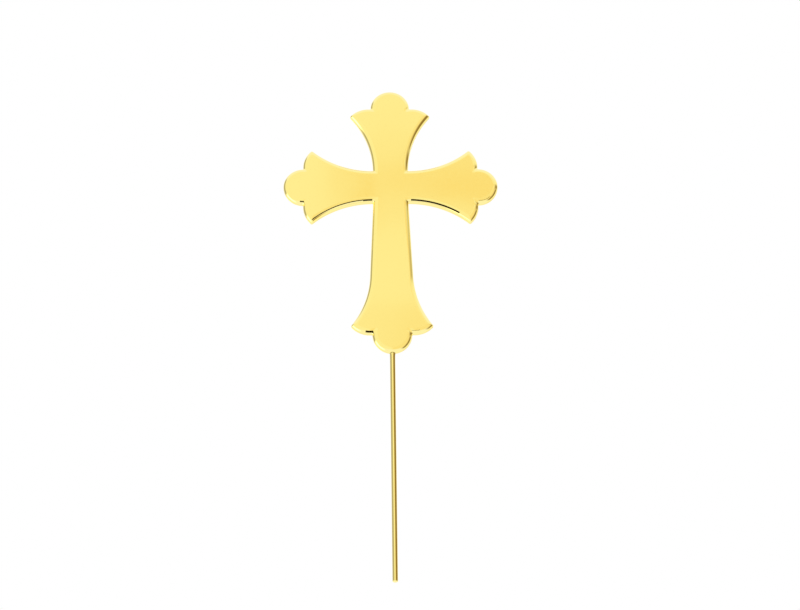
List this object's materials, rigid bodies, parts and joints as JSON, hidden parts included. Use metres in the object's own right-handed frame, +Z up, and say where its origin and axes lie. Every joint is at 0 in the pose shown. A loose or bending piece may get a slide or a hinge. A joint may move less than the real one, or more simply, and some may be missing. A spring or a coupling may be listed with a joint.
{
  "type": "processional cross",
  "caption": "Polished gold cross with flared arms that end in round lobes between points, hollow in two halves, carried on a thin plain rod.",
  "frame": {"origin": "centre of the cut foot of the rod", "axes": "+Z up the rod to the top lobe of the cross, +X along the side arms, -Y out of the polished front face"},
  "size_m": [0.102, 0.005, 0.2465],
  "materials": {
    "polished_gold": "mirror-polished gold plate",
    "rod_gold": "drawn wire, gold plated",
    "inner_brass": "plain machined brass"
  },
  "bodies": {
    "root": {"front_shell": "polished_gold", "back_shell": "polished_gold", "locating_pins": "inner_brass", "rod_socket": "inner_brass", "staff_rod": "rod_gold"}
  },
  "joints": []
}
